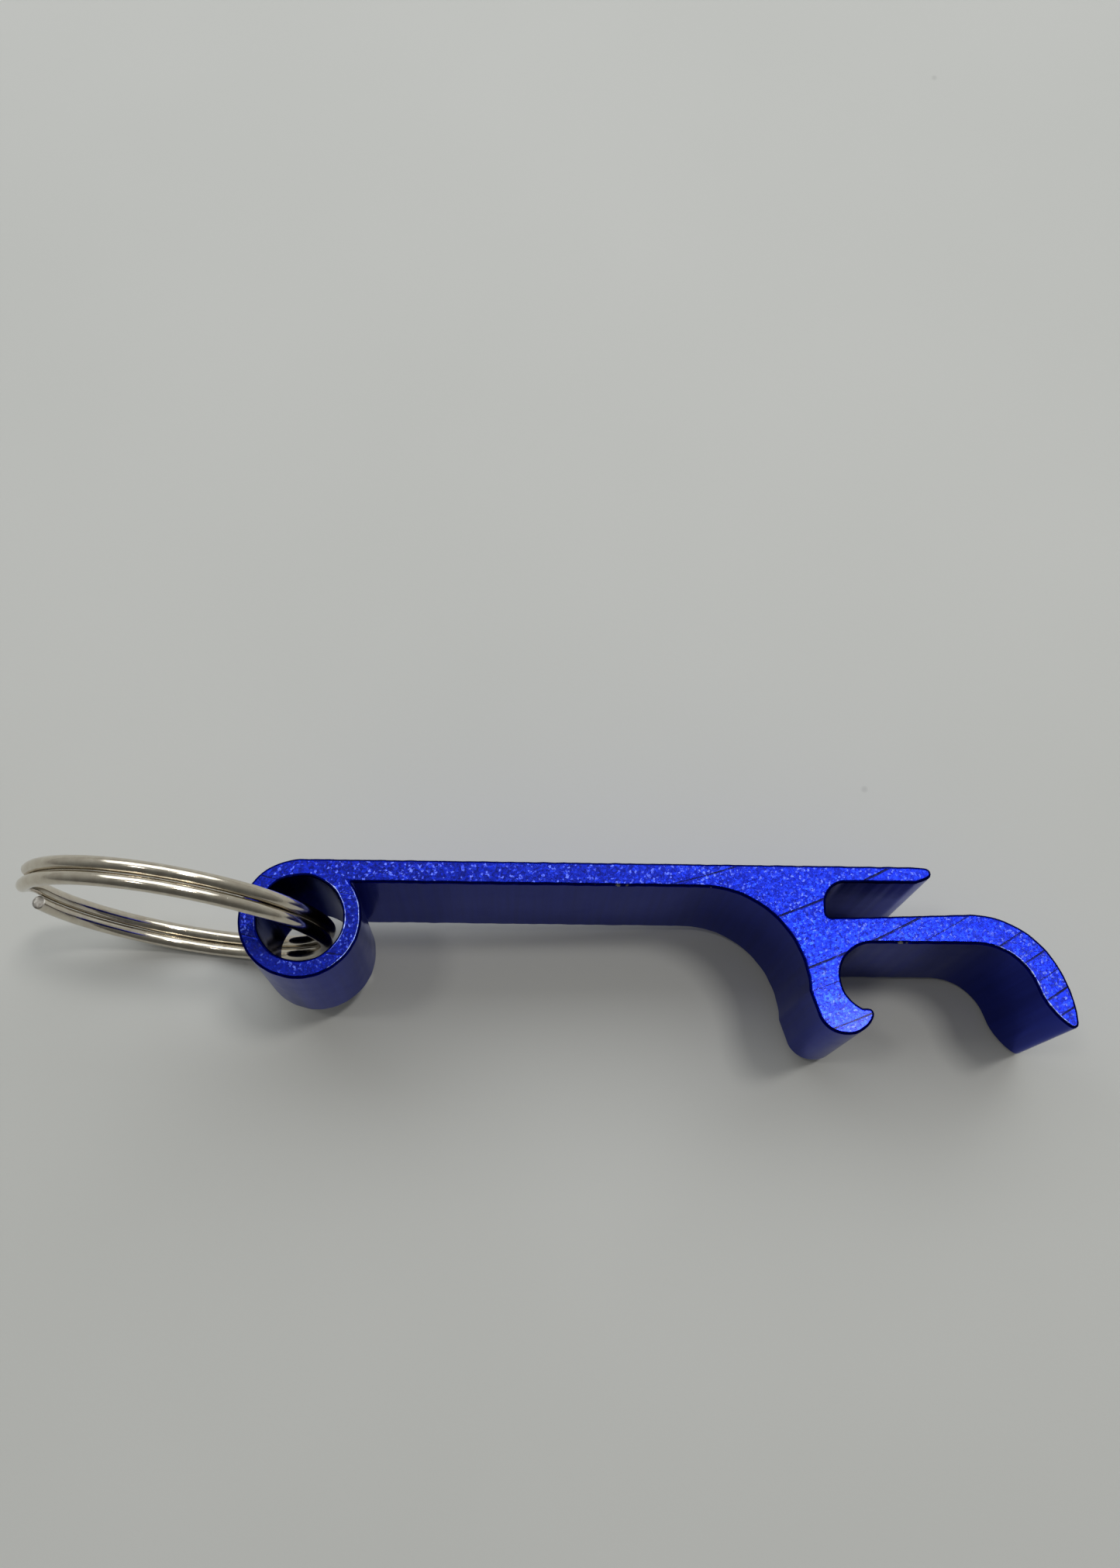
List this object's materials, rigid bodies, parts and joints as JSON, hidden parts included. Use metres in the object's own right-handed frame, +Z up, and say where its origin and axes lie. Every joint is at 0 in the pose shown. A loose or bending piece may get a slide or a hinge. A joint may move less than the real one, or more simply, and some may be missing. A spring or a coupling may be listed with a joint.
{
  "type": "keychain bottle opener",
  "caption": "Extruded aluminium keychain opener with a cap mouth, a can-tab slot and an eye that carries a split ring.",
  "frame": {"origin": "centre of the footprint, on the table the opener lies on", "axes": "+X from the eye and ring towards the curved finger, +Y towards the straight back, +Z up from the table; the eye's axis leans 6.1 degrees from +Z because the ring props that end up"},
  "size_m": [0.0794, 0.014, 0.024],
  "materials": {
    "anodised_aluminium": "blue anodised; sawn faces bright and grainy, extruded walls satin",
    "nickel_plated_wire": "nickel plated spring steel wire, bright with soft wear"
  },
  "bodies": {
    "opener": {"opener_body": "anodised_aluminium"},
    "ring": {"split_ring": "nickel_plated_wire"}
  },
  "joints": [
    {"name": "ring_swing", "type": "hinge", "parent": "opener", "child": "ring", "pos_m": [-0.01806, 0.0019, 0.00959], "axis": [0.0605, 0.0877, 0.9943], "range_deg": [-150, 188]}
  ]
}
